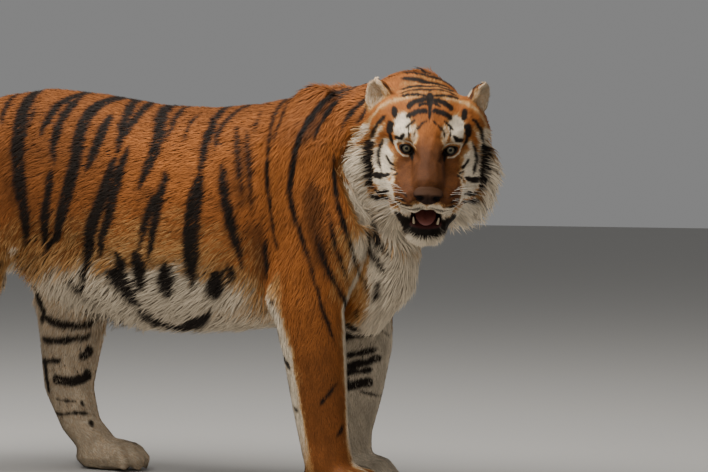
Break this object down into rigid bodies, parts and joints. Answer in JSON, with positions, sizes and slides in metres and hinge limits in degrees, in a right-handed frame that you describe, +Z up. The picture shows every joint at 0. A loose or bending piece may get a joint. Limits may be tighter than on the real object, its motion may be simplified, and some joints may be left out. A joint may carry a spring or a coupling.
{
  "type": "bengal tiger",
  "caption": "Life-size standing tiger with a striped orange and white coat, its head turned to the right and its tail curled up at the tip.",
  "frame": {"origin": "on the floor, under the middle of the tiger's bounding box", "axes": "+X from tail to breast, +Y to the tiger's left, +Z up"},
  "size_m": [1.9972, 0.4292, 0.9622],
  "materials": {
    "coat": "dense fur, orange with black stripes and white underparts",
    "nose_skin": "bare pink-brown skin, slightly moist",
    "eye": "wet and glossy",
    "tongue": "moist",
    "tooth": "polished ivory"
  },
  "bodies": {
    "root": {"head": "coat", "jaw": "coat", "ear_right": "coat", "ear_left": "coat", "neck": "coat", "chest": "coat", "belly": "coat", "rump": "coat", "shoulder_right": "coat", "shoulder_left": "coat", "foreleg_right": "coat", "foreleg_left": "coat", "forepaw_right": "coat", "forepaw_left": "coat", "thigh_right": "coat", "thigh_left": "coat", "shank_right": "coat", "shank_left": "coat", "hindpaw_right": "coat", "hindpaw_left": "coat", "tail_1": "coat", "tail_2": "coat", "tail_3": "coat", "tail_4": "coat", "nose": "nose_skin", "tongue": "tongue", "eye_right": "eye", "eye_left": "eye", "canine_right": "tooth", "canine_left": "tooth"}
  },
  "joints": []
}
